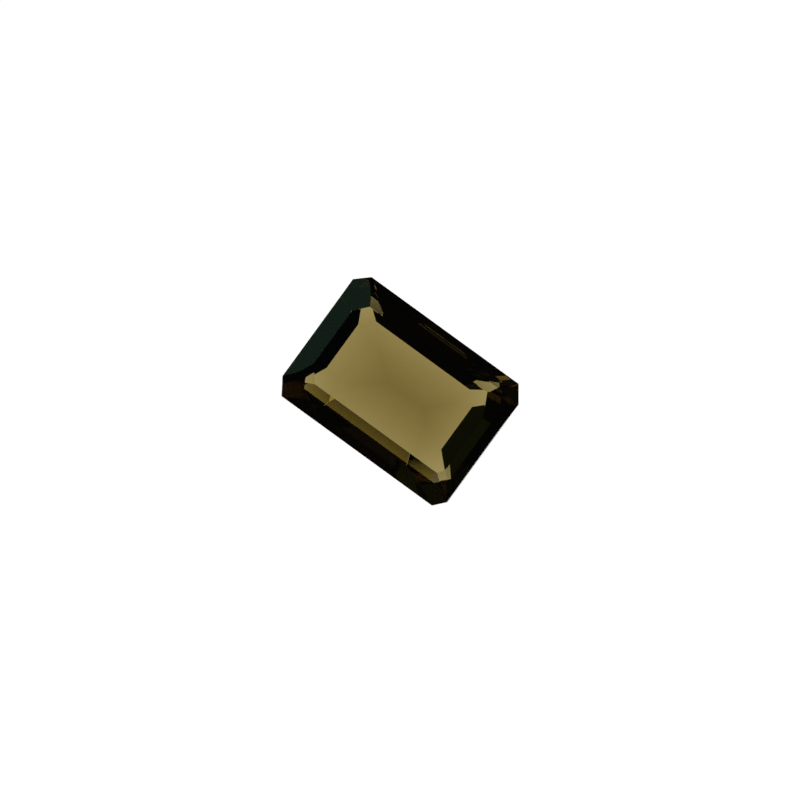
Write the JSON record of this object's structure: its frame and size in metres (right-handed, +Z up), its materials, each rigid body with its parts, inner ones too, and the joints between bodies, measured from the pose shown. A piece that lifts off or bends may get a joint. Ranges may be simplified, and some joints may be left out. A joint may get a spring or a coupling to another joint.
{
  "type": "smoky quartz gemstone",
  "caption": "Eight-sided step-cut smoky quartz with a flat table, stepped crown, thin girdle and a stepped pavilion down to a short keel.",
  "frame": {"origin": "centre of the bounding box at the surface that the stone rests on", "axes": "+X along the stone's long side, +Z up, with the stone lying on its front pavilion facet so that the table leans towards -Y"},
  "size_m": [0.014, 0.009, 0.0073],
  "materials": {
    "polished_smoky_quartz": "polished"
  },
  "bodies": {
    "root": {"smoky_quartz": "polished_smoky_quartz"}
  },
  "joints": []
}
